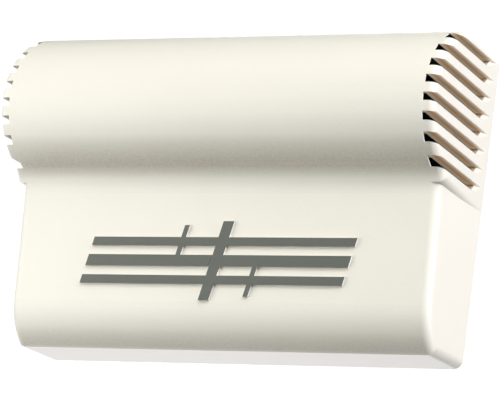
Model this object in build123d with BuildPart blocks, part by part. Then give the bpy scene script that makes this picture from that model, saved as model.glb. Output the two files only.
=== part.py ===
from build123d import *
from math import atan2, cos, degrees, radians, sin, sqrt, tan
import os

# A two-tone doorbell chime box: a moulded cover with a round bulge along its top, side louvres
# and a stripe ornament, over a base plate that carries two tone bars, a solenoid with its
# striking plunger, and a terminal block. Millimetres, +Z up, X along the box. The wall is
# the plane Y = 0, the front faces -Y, and Z = 0 is the middle of the base plate.

os.makedirs("parts", exist_ok=True)

# Shared clearances
overrun = 6.0
plate_clearance = 0.3
hole_clearance = 0.05

# Cover, outer form
cover_width = 190.0
cover_wall = 2.2
bottom_drop = 62.0
top_rise = 62.0
bulge_radius = 30.5
bulge_forward = 1.8
bulge_drop = 28.0
valley_radius = 13.5
panel_forward = 10.55
panel_mid_drop = 28.5
panel_lean = 4.3
bottom_radius = 24.0
bottom_back = 0.2
edge_radius = 3.8

# Bulge ends, which flare outward to the front and stand proud of the side walls below them
flare_angle = 4.0
flare_edge_radius = 3.0
flare_start_inset = 12.0
flare_foot_front_drop = 30.2
flare_foot_back_drop = 36.2

# Louvre slots, which fall gently towards the wall and end there in a shallow pointed facet
louvre_count = 8
louvre_depth = 4.6
louvre_height = 3.25
louvre_pitch = 7.15
louvre_top_drop = 6.3
louvre_lean = 2.7
louvre_back_margin = 2.0
louvre_mid_margin = 5.2
louvre_end_margin = 7.6
louvre_ramp_depth = 10.2
louvre_edge_reach = 1.2
louvre_edge_mid_reach = 0.5
louvre_edge_mid_rise = 0.15
louvre_edge_rise = 0.55
louvre_open_margin = 0.3
louvre_relief_width = 3.0
louvre_relief_skin = 0.6

# Stripe ornament on the front panel
trim_plinth_height = 0.85
trim_thickness = 0.25
trim_slit_width = 0.25
trim_slant_share = 0.27
trim_bar_length = 119.6
trim_bar_step = 7.6
trim_mid_bar_height = 4.5
trim_outer_bar_height = 3.4
trim_long_width = 4.7
trim_long_reach = 15.7
trim_short_width = 2.05
trim_short_reach = 14.1
trim_short_offset = 18.4

# Base plate and what is moulded on it
base_thickness = 2.5
base_corner_radius = 3.0
screw_hole_radius = 2.2
screw_pad_radius = 6.0
screw_pad_height = 1.5
screw_spacing_x = 140.0
screw_spacing_z = 90.0
screw_mid_drop = 1.0
cable_entry_width = 24.0
cable_entry_height = 12.0
cable_entry_radius = 3.0
cable_entry_drop = 46.0
tongue_width = 16.0
tongue_length = 9.5
tongue_thickness = 1.8
tongue_spacing = 90.0
tongue_tip_chamfer = 0.8

# Striking line of the plunger, which everything along the bulge is centred on
strike_depth = 24.0

# Tone bars, their rubber grommets and push pins
bar_thickness = 2.5
bar_width = 20.0
bar_corner_radius = 2.0
upper_bar_length = 150.0
lower_bar_length = 134.0
node_share = 0.224
upper_bar_lift = 18.0
lower_bar_fall = 29.5
grommet_radius = 5.5
grommet_neck_radius = 4.0
grommet_flange = 1.5
pin_radius = 2.0
pin_head_radius = 3.6
pin_head_height = 1.4
pin_tail = 2.6
pin_tail_chamfer = 0.7
shelf_width = 14.0
shelf_front_margin = 7.0
shelf_thickness = 2.5
gusset_thickness = 2.0
gusset_drop = 13.0
gusset_front_margin = 8.5

# Solenoid: bent steel yoke, nylon bobbin and taped winding
yoke_fall = 17.5
yoke_height = 26.0
yoke_width = 26.0
yoke_thickness = 1.6
yoke_bobbin_gap = 0.8
yoke_front_reach = 14.0
yoke_bend_radius = 2.4
yoke_ear_width = 50.0
yoke_ear_height = 14.0
yoke_boss_spacing = 40.0
yoke_boss_radius = 3.6
yoke_screw_radius = 1.5
yoke_screw_head_radius = 2.9
yoke_screw_head_height = 1.9
screw_tip_gap = 0.5
screw_slot_width = 0.8
screw_slot_depth = 0.8
bobbin_flange_radius = 13.2
bobbin_flange = 1.2
bobbin_sleeve_wall = 1.0
winding_radius = 12.1
tape_thickness = 0.3
tape_end_margin = 1.4
tape_lap_angle = 40.0
lug_reach = 17.6
lug_width = 7.0
lug_height = 2.4

# Plunger: steel core with a nylon striker at each end, and its return spring
core_radius = 4.0
core_length = 24.0
core_bore_radius = 1.5
core_bore_depth = 5.0
core_clearance = 0.15
lower_gap = 1.0
upper_gap = 3.5
lower_striker_radius = 3.0
lower_striker_height = 2.5
upper_rod_radius = 2.0
upper_head_radius = 4.2
upper_head_height = 1.5
rod_clearance = 0.3
striker_edge_radius = 0.8
spring_wire_radius = 0.2
spring_radius = 3.1
spring_turns = 4
spring_seat_gap = 0.05

# Terminal block
block_width = 22.0
block_height = 15.0
block_depth = 13.0
block_drop = 22.0
block_edge_radius = 0.8
pole_spacing = 12.0
pole_tower_width = 7.6
pole_tower_depth = 5.0
tube_depth = 7.5
tube_radius = 2.4
tube_bore_radius = 1.3
tube_end_margin = 1.0
clamp_screw_radius = 1.2
clamp_screw_head_radius = 1.7
clamp_screw_head_height = 1.4
clamp_screw_spacing = 6.5
clamp_screw_recess = 0.8
block_screw_radius = 1.2
block_screw_head_radius = 2.0
block_screw_head_height = 1.4
block_boss_radius = 3.0

# Coil leads
lead_radius = 0.55
lead_lug_offset = 1.6
lead_back_gap = 2.6
lead_entry_depth = 3.0
lead_first_drop = 4.6
lead_pass_drop = 9.0
lead_turn_rise = 7.0

# Places worked out from those sizes
half_width = cover_width / 2
bulge_depth = strike_depth + bulge_forward
bulge_rise = top_rise - bulge_drop
panel_depth = strike_depth + panel_forward
bottom_depth = strike_depth - bottom_back
panel_line = Vector(-sin(radians(panel_lean)), cos(radians(panel_lean)))
panel_normal = Vector(-cos(radians(panel_lean)), -sin(radians(panel_lean)))
panel_mid = Vector(-panel_depth, -panel_mid_drop)
bulge_centre = Vector(-bulge_depth, bulge_rise)


def valley_centre():
    """Centre of the hollow that is tangent to the panel and to the bulge."""
    reach = bulge_centre - panel_mid - panel_normal * valley_radius
    along = reach.dot(panel_line)
    across = reach.length**2 - along**2
    travel = along - sqrt((bulge_radius + valley_radius) ** 2 - across)
    return panel_mid + panel_line * travel + panel_normal * valley_radius


def bottom_centre():
    """Centre of the rounding that leaves the panel and ends at the crease under the box."""
    reach = Vector(-bottom_depth, -bottom_drop) - panel_mid + panel_normal * bottom_radius
    along = reach.dot(panel_line)
    across = reach.length**2 - along**2
    travel = along + sqrt(bottom_radius**2 - across)
    return panel_mid + panel_line * travel - panel_normal * bottom_radius


def top_normal():
    """Direction square to the straight top, which is tangent to the bulge."""
    reach = Vector(0, top_rise) - bulge_centre
    turn = degrees(atan2(sqrt(reach.length**2 - bulge_radius**2), bulge_radius))
    heading = degrees(atan2(reach.Y, reach.X)) + turn
    return Vector(cos(radians(heading)), sin(radians(heading)))


def box_section(inset, back, trimmed_by=None):
    """Side outline of the box, drawn a wall thickness further in where inset is given."""
    valley = valley_centre()
    bottom = bottom_centre()
    top = top_normal()
    floor = inset - bottom_drop
    floor_reach = sqrt((bottom_radius - inset) ** 2 - (bottom.Y - floor) ** 2)
    crease = Vector(bottom.X - floor_reach, floor)
    panel_foot = bottom + panel_normal * (bottom_radius - inset)
    panel_head = valley - panel_normal * (valley_radius + inset)
    bulge_foot = bulge_centre + (valley - bulge_centre).normalized() * (bulge_radius - inset)
    bulge_head = bulge_centre + top * (bulge_radius - inset)
    back_head = Vector(back, bulge_head.Y - (back - bulge_head.X) * top.X / top.Y)
    with BuildSketch(Plane.YZ) as section:
        with BuildLine():
            Line((back, floor), crease)
            TangentArc(panel_foot, crease, tangent=panel_line * -1)
            Line(panel_foot, panel_head)
            hollow = TangentArc(panel_head, bulge_foot, tangent=panel_line)
            TangentArc(bulge_foot, bulge_head, tangent=hollow % 1)
            Line(bulge_head, back_head)
            Line(back_head, (back, floor))
        make_face()
        if trimmed_by is not None:
            Polygon(*trimmed_by, align=None, mode=Mode.INTERSECT)
    return section.sketch


# Line under the flared ends, from the valley back to the wall, and the outline above it
foot_front = (-panel_depth - valley_radius, bulge_rise - flare_foot_front_drop)
foot_back = (overrun, bulge_rise - flare_foot_back_drop)
front_limit = bulge_depth + bulge_radius + overrun
above_foot = (
    foot_front,
    foot_back,
    (overrun, top_rise + overrun),
    (-front_limit, top_rise + overrun),
    (-front_limit, foot_front[1]),
)
below_foot = (
    foot_front,
    foot_back,
    (overrun, -bottom_drop - overrun),
    (-front_limit, -bottom_drop - overrun),
    (-front_limit, foot_front[1]),
)
flare_reach = half_width + (bulge_depth + bulge_radius) * tan(radians(flare_angle))
flare_face = Plane(
    origin=(half_width, 0, 0),
    x_dir=(0, 0, 1),
    z_dir=(cos(radians(flare_angle)), sin(radians(flare_angle)), 0),
)


def louvre_outline(inset, number, ceiling_rise, back_margin):
    """Outline of one louvre slot, on a plane the given way in from the flared face."""
    climb = tan(radians(louvre_lean))
    floor = top_rise - louvre_top_drop - number * louvre_pitch
    ceiling = floor + louvre_height + ceiling_rise
    with BuildSketch(flare_face.offset(-inset)) as outline:
        Polygon(
            (floor + climb * front_limit, front_limit),
            (floor + climb * louvre_ramp_depth, louvre_ramp_depth),
            (ceiling + climb * back_margin, back_margin),
            (ceiling + climb * front_limit, front_limit),
            align=None,
        )
    return outline.sketch


def strike_plane(rise):
    """Level plane at a height, centred on the striking line of the plunger."""
    return Plane(origin=(0, -strike_depth, rise))


# One flared end, rounded on its outer edges
with BuildPart() as flared_end:
    extrude(box_section(0, 0, above_foot), amount=flare_reach + overrun)
    split(bisect_by=flare_face, keep=Keep.BOTTOM)
    split(bisect_by=Plane.YZ.offset(half_width - flare_start_inset), keep=Keep.TOP)
    outer_face = flared_end.faces().sort_by(Axis.X)[-1]
    back_edges = outer_face.edges().group_by(Axis.Y)[-1]
    fillet(outer_face.edges() - back_edges, flare_edge_radius)

# The hollow inside one flared end
with BuildPart() as flared_hollow:
    extrude(box_section(cover_wall, overrun, above_foot), amount=flare_reach)
    split(bisect_by=flare_face.offset(-louvre_depth), keep=Keep.BOTTOM)
    split(bisect_by=Plane.YZ.offset(half_width - 2 * flare_start_inset), keep=Keep.TOP)

# The louvre slots of one end: the ceiling of each rounds upward at its outer edge
with BuildPart() as louvre_slots:
    for number in range(louvre_count):
        inner = louvre_outline(louvre_depth + louvre_open_margin, number, 0, louvre_end_margin)
        mouth_end = louvre_outline(louvre_edge_reach, number, 0, louvre_end_margin)
        mouth_mid = louvre_outline(
            louvre_edge_mid_reach, number, louvre_edge_mid_rise, louvre_mid_margin
        )
        mouth = louvre_outline(-louvre_open_margin, number, louvre_edge_rise, louvre_back_margin)
        extrude(inner, amount=louvre_depth + overrun)
        loft([mouth_end, mouth_mid, mouth], ruled=True)

# The front wall is rebated behind the end of each slot, which leaves a thin edge there
with BuildPart() as louvre_rebates:
    for number in range(louvre_count):
        inner = louvre_outline(louvre_depth + louvre_open_margin, number, 0, louvre_end_margin)
        extrude(inner, amount=-louvre_relief_width)
    extrude(box_section(louvre_relief_skin, overrun), amount=flare_reach, mode=Mode.INTERSECT)

# Stripe ornament: three slanted bars joined by three slanted strokes, raised from the panel
trim_plane = Plane(
    origin=(0, panel_mid.X, panel_mid.Y),
    x_dir=(1, 0, 0),
    z_dir=(0, panel_normal.X, panel_normal.Y),
)


def slanted_strip(middle, width, low, high, mode=Mode.ADD):
    """A strip with level ends and slanted sides, its middle at the given place on the slant."""
    Polygon(
        (middle + trim_slant_share * low - width / 2, low),
        (middle + trim_slant_share * low + width / 2, low),
        (middle + trim_slant_share * high + width / 2, high),
        (middle + trim_slant_share * high - width / 2, high),
        align=None,
        mode=mode,
    )


def ornament_strips():
    """All strips of the ornament."""
    slanted_strip(0, trim_bar_length, -trim_mid_bar_height / 2, trim_mid_bar_height / 2)
    for step in (-trim_bar_step, trim_bar_step):
        low = step - trim_outer_bar_height / 2
        slanted_strip(0, trim_bar_length, low, low + trim_outer_bar_height)
    slanted_strip(0, trim_long_width, -trim_long_reach, trim_long_reach)
    slanted_strip(-trim_short_offset, trim_short_width, 0, trim_short_reach)
    slanted_strip(trim_short_offset, trim_short_width, -trim_short_reach, 0)


# The cover itself, a moulded shell that is open to the wall
with BuildPart() as cover:
    extrude(box_section(0, 0), amount=half_width, both=True)
    end_faces = cover.faces().group_by(Axis.X)[0] + cover.faces().group_by(Axis.X)[-1]
    end_edges = end_faces.edges() - cover.edges().group_by(Axis.Y)[-1]
    fillet(end_edges, edge_radius)
    add(flared_end.part)
    add(mirror(flared_end.part, about=Plane.YZ))
    extrude(
        box_section(cover_wall, overrun),
        amount=half_width - flare_start_inset,
        both=True,
        mode=Mode.SUBTRACT,
    )
    extrude(
        box_section(cover_wall, overrun, below_foot),
        amount=half_width - cover_wall,
        both=True,
        mode=Mode.SUBTRACT,
    )
    for end_cut in (louvre_rebates, louvre_slots, flared_hollow):
        add(end_cut.part, mode=Mode.SUBTRACT)
        add(mirror(end_cut.part, about=Plane.YZ), mode=Mode.SUBTRACT)
    with BuildSketch(trim_plane.offset(-cover_wall / 2)):
        ornament_strips()
    extrude(amount=cover_wall / 2 + trim_plinth_height)
cover.part.label = "cover"
export_step(cover.part, "parts/cover.step")

# Stripe trim: the thin plate that covers the raised ornament, slit beside its long stroke
with BuildPart() as trim:
    with BuildSketch(trim_plane.offset(trim_plinth_height)):
        ornament_strips()
        slanted_strip(
            -(trim_long_width + trim_slit_width) / 2,
            trim_slit_width,
            -trim_mid_bar_height / 2,
            trim_mid_bar_height / 2,
            mode=Mode.SUBTRACT,
        )
    extrude(amount=trim_thickness)
trim.part.label = "stripe_trim"
export_step(trim.part, "parts/stripe_trim.step")

# Places of the tone bars, their carriers and the solenoid
upper_bar_rise = bulge_rise + upper_bar_lift
lower_bar_rise = bulge_rise - lower_bar_fall
yoke_low_rise = bulge_rise - yoke_fall
upper_node_x = upper_bar_length * (1 / 2 - node_share)
lower_node_x = lower_bar_length * (1 / 2 - node_share)
upper_shelf_rise = upper_bar_rise - grommet_flange
lower_shelf_rise = lower_bar_rise - grommet_flange
shelf_places = [
    ("upper_left", -upper_node_x, upper_shelf_rise),
    ("upper_right", upper_node_x, upper_shelf_rise),
    ("lower_left", -lower_node_x, lower_shelf_rise),
    ("lower_right", lower_node_x, lower_shelf_rise),
]
yoke_mid_rise = yoke_low_rise + yoke_height / 2
yoke_back = strike_depth - bobbin_flange_radius - yoke_bobbin_gap - yoke_thickness
yoke_standoff = yoke_back - base_thickness
block_mid_drop = block_drop + block_height / 2

# Base plate
base_half_width = half_width - cover_wall - plate_clearance
base_head_half_width = half_width - louvre_depth / cos(radians(flare_angle)) - plate_clearance
base_shoulder = foot_back[1] - plate_clearance
base_low = cover_wall + plate_clearance - bottom_drop
base_high = top_rise - cover_wall / top_normal().Y - plate_clearance
base_mid = (base_low + base_high) / 2

with BuildPart() as base:
    with BuildSketch(Plane.XZ):
        with Locations((0, base_mid)):
            RectangleRounded(2 * base_head_half_width, base_high - base_low, base_corner_radius)
        with Locations((0, (base_low + base_shoulder) / 2)):
            RectangleRounded(2 * base_half_width, base_shoulder - base_low, base_corner_radius)
    extrude(amount=base_thickness)

    # Pads and holes for the wall screws
    with BuildSketch(Plane.XZ.offset(base_thickness)):
        with Locations((0, -screw_mid_drop)):
            with GridLocations(screw_spacing_x, screw_spacing_z, 2, 2):
                Circle(screw_pad_radius)
    extrude(amount=screw_pad_height)
    with BuildSketch(Plane.XZ.offset(-overrun)):
        with Locations((0, -screw_mid_drop)):
            with GridLocations(screw_spacing_x, screw_spacing_z, 2, 2):
                Circle(screw_hole_radius)
    extrude(amount=2 * overrun + base_thickness + screw_pad_height, mode=Mode.SUBTRACT)

    # Cable entry from the wall
    with BuildSketch(Plane.XZ.offset(-overrun)):
        with Locations((0, -cable_entry_drop)):
            RectangleRounded(cable_entry_width, cable_entry_height, cable_entry_radius)
    extrude(amount=2 * overrun + base_thickness, mode=Mode.SUBTRACT)

    # Tongues that grip the cover along its top and bottom walls
    for tongue_low in (base_low, base_high - tongue_thickness):
        with BuildSketch(Plane.XZ.offset(base_thickness)):
            with Locations((0, tongue_low + tongue_thickness / 2)):
                with GridLocations(tongue_spacing, 0, 2, 1):
                    Rectangle(tongue_width, tongue_thickness)
        extrude(amount=tongue_length)
    tongue_tips = base.faces().filter_by(Axis.Y).group_by(Axis.Y)[0].edges().filter_by(Axis.X)
    chamfer(tongue_tips, tongue_tip_chamfer)

    # Shelves that carry the tone bars, each with a gusset under it
    for name, shelf_x, shelf_rise in shelf_places:
        with BuildSketch(Plane.XZ.offset(base_thickness)):
            with Locations((shelf_x, shelf_rise - shelf_thickness / 2)):
                Rectangle(shelf_width, shelf_thickness)
        extrude(amount=strike_depth + shelf_front_margin - base_thickness)
        with BuildSketch(Plane.YZ.offset(shelf_x)):
            Polygon(
                (-base_thickness, shelf_rise - shelf_thickness),
                (-base_thickness, shelf_rise - shelf_thickness - gusset_drop),
                (-strike_depth + gusset_front_margin, shelf_rise - shelf_thickness),
                align=None,
            )
        extrude(amount=gusset_thickness / 2, both=True)
        with BuildSketch(Plane.XY.offset(shelf_rise - shelf_thickness)):
            with Locations((shelf_x, -strike_depth)):
                Circle(pin_radius + hole_clearance)
        extrude(amount=shelf_thickness, mode=Mode.SUBTRACT)

    # Bosses for the solenoid screws and for the terminal block screw
    with BuildSketch(Plane.XZ.offset(base_thickness)):
        with Locations((0, yoke_mid_rise)):
            with GridLocations(yoke_boss_spacing, 0, 2, 1):
                Circle(yoke_boss_radius)
                Circle(yoke_screw_radius, mode=Mode.SUBTRACT)
    extrude(amount=yoke_standoff)
    with BuildSketch(Plane.XZ.offset(base_thickness)):
        with Locations((0, -block_mid_drop)):
            Circle(block_boss_radius)
            Circle(block_screw_radius, mode=Mode.SUBTRACT)
    extrude(amount=pole_tower_depth)
base.part.label = "base_plate"
export_step(base.part, "parts/base_plate.step")

# Tone bars, flat steel, each hung at the two places where it does not move as it rings
for bar_name, bar_length, node_x, bar_rise in (
    ("upper_tone_bar", upper_bar_length, upper_node_x, upper_bar_rise),
    ("lower_tone_bar", lower_bar_length, lower_node_x, lower_bar_rise),
):
    with BuildPart() as tone_bar:
        with BuildSketch(strike_plane(bar_rise)):
            RectangleRounded(bar_length, bar_width, bar_corner_radius)
            with GridLocations(2 * node_x, 0, 2, 1):
                Circle(grommet_neck_radius, mode=Mode.SUBTRACT)
        extrude(amount=bar_thickness)
    tone_bar.part.label = bar_name
    export_step(tone_bar.part, "parts/" + bar_name + ".step")

# Rubber grommets, grooved round the edge of each bar hole
grommet_height = bar_thickness + 2 * grommet_flange
for name, shelf_x, shelf_rise in shelf_places:
    with BuildPart() as grommet:
        with BuildSketch(Plane.XZ.offset(strike_depth)):
            with Locations((shelf_x, shelf_rise)):
                with Locations((grommet_radius / 2, grommet_height / 2)):
                    Rectangle(grommet_radius, grommet_height)
                with Locations((grommet_radius / 2 + grommet_neck_radius, grommet_height / 2)):
                    Rectangle(grommet_radius, bar_thickness, mode=Mode.SUBTRACT)
                with Locations((pin_radius / 2, grommet_height / 2)):
                    Rectangle(pin_radius, grommet_height, mode=Mode.SUBTRACT)
        revolve(axis=Axis((shelf_x, -strike_depth, 0), (0, 0, 1)))
    grommet.part.label = "grommet_" + name
    export_step(grommet.part, "parts/grommet_" + name + ".step")

# Push pins through the grommets into the shelves
with BuildPart() as bar_pins:
    for name, shelf_x, shelf_rise in shelf_places:
        head_rise = shelf_rise + grommet_height
        shank_length = grommet_height + shelf_thickness + pin_tail
        with BuildSketch(Plane.XY.offset(head_rise)):
            with Locations((shelf_x, -strike_depth)):
                Circle(pin_head_radius)
        extrude(amount=pin_head_height)
        with BuildSketch(Plane.XY.offset(head_rise - shank_length)):
            with Locations((shelf_x, -strike_depth)):
                Circle(pin_radius)
        extrude(amount=shank_length)
    tail_edges = bar_pins.edges().filter_by(GeomType.CIRCLE).filter_by(
        lambda edge: edge.radius < pin_head_radius
    )
    for rise in (upper_shelf_rise, lower_shelf_rise):
        tail_rise = rise - shelf_thickness - pin_tail
        chamfer(
            tail_edges.filter_by_position(
                Axis.Z, tail_rise - hole_clearance, tail_rise + hole_clearance
            ),
            pin_tail_chamfer,
        )
bar_pins.part.label = "tone_bar_pins"
export_step(bar_pins.part, "parts/tone_bar_pins.step")

# Solenoid yoke: a steel strip bent to a C, with an ear on each side for its screws
sleeve_radius = core_radius + core_clearance + bobbin_sleeve_wall
yoke_high_rise = yoke_low_rise + yoke_height
yoke_depth = strike_depth + yoke_front_reach - yoke_back

with BuildPart() as yoke:
    with BuildSketch(Plane.YZ):
        with Locations((-yoke_back - yoke_depth / 2, yoke_mid_rise)):
            Rectangle(yoke_depth, yoke_height)
        with Locations((-yoke_back - yoke_depth / 2 - yoke_thickness, yoke_mid_rise)):
            Rectangle(yoke_depth, yoke_height - 2 * yoke_thickness, mode=Mode.SUBTRACT)
    extrude(amount=yoke_width / 2, both=True)
    bend_edges = yoke.edges().filter_by(Axis.X).group_by(Axis.Y)[-1]
    fillet(bend_edges, yoke_bend_radius)
    with BuildSketch(Plane.XZ.offset(yoke_back)):
        with Locations((0, yoke_mid_rise)):
            RectangleRounded(yoke_ear_width, yoke_ear_height, yoke_bend_radius)
    extrude(amount=yoke_thickness)
    with BuildSketch(Plane.XZ.offset(yoke_back)):
        with Locations((0, yoke_mid_rise)):
            with GridLocations(yoke_boss_spacing, 0, 2, 1):
                Circle(yoke_screw_radius + hole_clearance)
    extrude(amount=yoke_thickness, mode=Mode.SUBTRACT)
    with BuildSketch(strike_plane(yoke_low_rise)):
        Circle(sleeve_radius + hole_clearance)
    extrude(amount=yoke_thickness, mode=Mode.SUBTRACT)
    with BuildSketch(strike_plane(yoke_high_rise - yoke_thickness)):
        Circle(upper_rod_radius + rod_clearance)
    extrude(amount=yoke_thickness, mode=Mode.SUBTRACT)
yoke.part.label = "solenoid_yoke"
export_step(yoke.part, "parts/solenoid_yoke.step")

# Bobbin: sleeve, two flanges and a lug on each side that the leads leave
winding_low = yoke_low_rise + yoke_thickness + bobbin_flange
winding_high = yoke_high_rise - yoke_thickness - bobbin_flange

with BuildPart() as bobbin:
    with BuildSketch(strike_plane(yoke_low_rise)):
        Circle(sleeve_radius)
    extrude(amount=yoke_height - yoke_thickness)
    for flange_low in (winding_low - bobbin_flange, winding_high):
        with BuildSketch(strike_plane(flange_low)):
            Circle(bobbin_flange_radius)
        extrude(amount=bobbin_flange)
    with BuildSketch(strike_plane(winding_low - bobbin_flange)):
        Rectangle(2 * lug_reach, lug_width)
    extrude(amount=bobbin_flange)
    with BuildSketch(strike_plane(winding_low)):
        with GridLocations(lug_reach + bobbin_flange_radius, 0, 2, 1):
            Rectangle(lug_reach - bobbin_flange_radius, lug_width)
    extrude(amount=lug_height)
    with BuildSketch(strike_plane(yoke_low_rise)):
        Circle(core_radius + core_clearance)
    extrude(amount=yoke_height, mode=Mode.SUBTRACT)
bobbin.part.label = "solenoid_bobbin"
export_step(bobbin.part, "parts/solenoid_bobbin.step")

# Winding, and the tape that is wrapped over it with its end lapped
with BuildPart() as winding:
    with BuildSketch(strike_plane(winding_low)):
        Circle(winding_radius)
        Circle(sleeve_radius, mode=Mode.SUBTRACT)
    extrude(amount=winding_high - winding_low)
winding.part.label = "coil_winding"
export_step(winding.part, "parts/coil_winding.step")

with BuildPart() as tape:
    with BuildSketch(strike_plane(winding_low + tape_end_margin)):
        Circle(winding_radius + tape_thickness)
        with BuildLine():
            lap_radius = winding_radius + 2 * tape_thickness
            lap = CenterArc((0, 0), lap_radius, -90, tape_lap_angle)
            Line(lap @ 0, (0, 0))
            Line(lap @ 1, (0, 0))
        make_face()
        Circle(winding_radius, mode=Mode.SUBTRACT)
    extrude(amount=winding_high - winding_low - 2 * tape_end_margin)
tape.part.label = "coil_tape"
export_step(tape.part, "parts/coil_tape.step")

# Screws of the solenoid
yoke_head_depth = yoke_back + yoke_thickness
yoke_screw_length = yoke_standoff + yoke_thickness - screw_tip_gap
with BuildPart() as yoke_screws:
    with BuildSketch(Plane.XZ.offset(yoke_head_depth)):
        with Locations((0, yoke_mid_rise)):
            with GridLocations(yoke_boss_spacing, 0, 2, 1):
                Circle(yoke_screw_head_radius)
    extrude(amount=yoke_screw_head_height)
    with BuildSketch(Plane.XZ.offset(yoke_head_depth)):
        with Locations((0, yoke_mid_rise)):
            with GridLocations(yoke_boss_spacing, 0, 2, 1):
                Circle(yoke_screw_radius)
    extrude(amount=-yoke_screw_length)
    with BuildSketch(Plane.XZ.offset(yoke_head_depth + yoke_screw_head_height)):
        with Locations((0, yoke_mid_rise)):
            with GridLocations(yoke_boss_spacing, 0, 2, 1):
                Rectangle(2 * yoke_screw_head_radius, screw_slot_width, rotation=tape_lap_angle)
    extrude(amount=-screw_slot_depth, mode=Mode.SUBTRACT)
yoke_screws.part.label = "yoke_screws"
export_step(yoke_screws.part, "parts/yoke_screws.step")

# Plunger at rest, held by its spring just above the lower bar
strike_low = lower_bar_rise + bar_thickness + lower_gap
strike_high = upper_bar_rise - upper_gap
core_low = strike_low + lower_striker_height
core_high = core_low + core_length
head_low = strike_high - upper_head_height

with BuildPart() as core:
    with BuildSketch(strike_plane(core_low)):
        Circle(core_radius)
    extrude(amount=core_length)
    for bore_low in (core_low, core_high - core_bore_depth):
        with BuildSketch(strike_plane(bore_low)):
            Circle(core_bore_radius)
        extrude(amount=core_bore_depth, mode=Mode.SUBTRACT)
core.part.label = "plunger_core"
export_step(core.part, "parts/plunger_core.step")

with BuildPart() as lower_striker:
    with BuildSketch(strike_plane(strike_low)):
        Circle(lower_striker_radius)
    extrude(amount=lower_striker_height)
    fillet(lower_striker.edges().sort_by(Axis.Z)[0], striker_edge_radius)
    with BuildSketch(strike_plane(core_low)):
        Circle(core_bore_radius)
    extrude(amount=core_bore_depth)
lower_striker.part.label = "lower_striker"
export_step(lower_striker.part, "parts/lower_striker.step")

with BuildPart() as upper_striker:
    with BuildSketch(strike_plane(head_low)):
        Circle(upper_head_radius)
    extrude(amount=upper_head_height)
    fillet(upper_striker.edges().sort_by(Axis.Z)[-1], striker_edge_radius)
    with BuildSketch(strike_plane(core_high)):
        Circle(upper_rod_radius)
    extrude(amount=head_low - core_high)
    with BuildSketch(strike_plane(core_high - core_bore_depth)):
        Circle(core_bore_radius)
    extrude(amount=core_bore_depth)
upper_striker.part.label = "upper_striker"
export_step(upper_striker.part, "parts/upper_striker.step")

# Return spring, one tube along arcs that climb in half turns between yoke and striker head
spring_low = yoke_high_rise + spring_wire_radius + spring_seat_gap
spring_high = head_low - spring_wire_radius - spring_seat_gap
half_turn_climb = (spring_high - spring_low) / (2 * spring_turns)
climb_angle = atan2(half_turn_climb, spring_radius * radians(180))


def spring_point(half_turn):
    """Place on the spring after a number of half turns."""
    side = cos(radians(180 * half_turn))
    return Vector(side * spring_radius, -strike_depth, spring_low + half_turn_climb * half_turn)


def spring_heading(half_turn):
    """Direction of the wire after a number of half turns."""
    side = cos(radians(180 * half_turn))
    return Vector(0, side * cos(climb_angle), sin(climb_angle))


def half_turn_joint(half_turn):
    """Place where the two tangent arcs of one half turn meet."""
    start, end = spring_point(half_turn), spring_point(half_turn + 1)
    leave, arrive = spring_heading(half_turn), spring_heading(half_turn + 1)
    lift = sin(climb_angle) * half_turn_climb
    reach = sqrt(lift**2 + (cos(climb_angle) * (end - start).length) ** 2)
    handle = (reach - lift) / (2 * cos(climb_angle) ** 2)
    return (start + leave * handle + end - arrive * handle) * (1 / 2)


with BuildPart() as spring:
    with BuildLine() as spring_path:
        tail = 2 * spring_wire_radius
        Line(spring_point(0) - spring_heading(0) * tail, spring_point(0))
        for half_turn in range(2 * spring_turns):
            joint = half_turn_joint(half_turn)
            first = TangentArc(spring_point(half_turn), joint, tangent=spring_heading(half_turn))
            TangentArc(joint, spring_point(half_turn + 1), tangent=first % 1)
        last = 2 * spring_turns
        Line(spring_point(last), spring_point(last) + spring_heading(last) * tail)
    with BuildSketch(Plane(origin=spring_path.wire() @ 0, z_dir=spring_path.wire() % 0)):
        Circle(spring_wire_radius)
    sweep(path=spring_path.wire())
spring.part.label = "return_spring"
export_step(spring.part, "parts/return_spring.step")

sample_count = 60 * spring_turns
spring_samples = [spring_path.wire() @ (i / sample_count) for i in range(sample_count + 1)]
turn_samples = sample_count // spring_turns
spring_gap = min(
    (spring_samples[i] - spring_samples[j]).length - 2 * spring_wire_radius
    for i in range(sample_count + 1)
    for j in range(i + turn_samples // 2, sample_count + 1)
)
print("least gap between spring turns", round(spring_gap, 3))

# Terminal block on the base plate under the lower bar, one tower for each pole
block_front = base_thickness + block_depth
tube_front = base_thickness + tube_depth

with BuildPart() as block:
    with BuildSketch(Plane.XZ.offset(base_thickness)):
        with Locations((0, -block_mid_drop)):
            Rectangle(block_width, block_height)
            Circle(block_boss_radius + hole_clearance, mode=Mode.SUBTRACT)
    extrude(amount=pole_tower_depth)
    with BuildSketch(Plane.XZ.offset(base_thickness + pole_tower_depth)):
        with Locations((0, -block_mid_drop)):
            Rectangle(block_width, block_height)
            Circle(block_screw_radius + hole_clearance, mode=Mode.SUBTRACT)
    extrude(amount=pole_tower_depth / 2)
    with BuildSketch(Plane.XZ.offset(base_thickness + pole_tower_depth)):
        with Locations((0, -block_mid_drop)):
            with GridLocations(pole_spacing, 0, 2, 1):
                Rectangle(pole_tower_width, block_height)
    extrude(amount=block_depth - pole_tower_depth)
    upright_edges = block.edges().filter_by(Axis.Z)
    fillet(upright_edges.group_by(Axis.Y)[0], block_edge_radius)
    with BuildSketch(Plane.XY.offset(-block_drop)):
        with Locations((0, -tube_front)):
            with GridLocations(pole_spacing, 0, 2, 1):
                Circle(tube_radius + hole_clearance)
    extrude(amount=-block_height, mode=Mode.SUBTRACT)
    with BuildSketch(Plane.XZ.offset(tube_front)):
        with Locations((0, -block_mid_drop)):
            with GridLocations(pole_spacing, clamp_screw_spacing, 2, 2):
                Circle(clamp_screw_head_radius + hole_clearance)
    extrude(amount=block_depth - tube_depth, mode=Mode.SUBTRACT)
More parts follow.
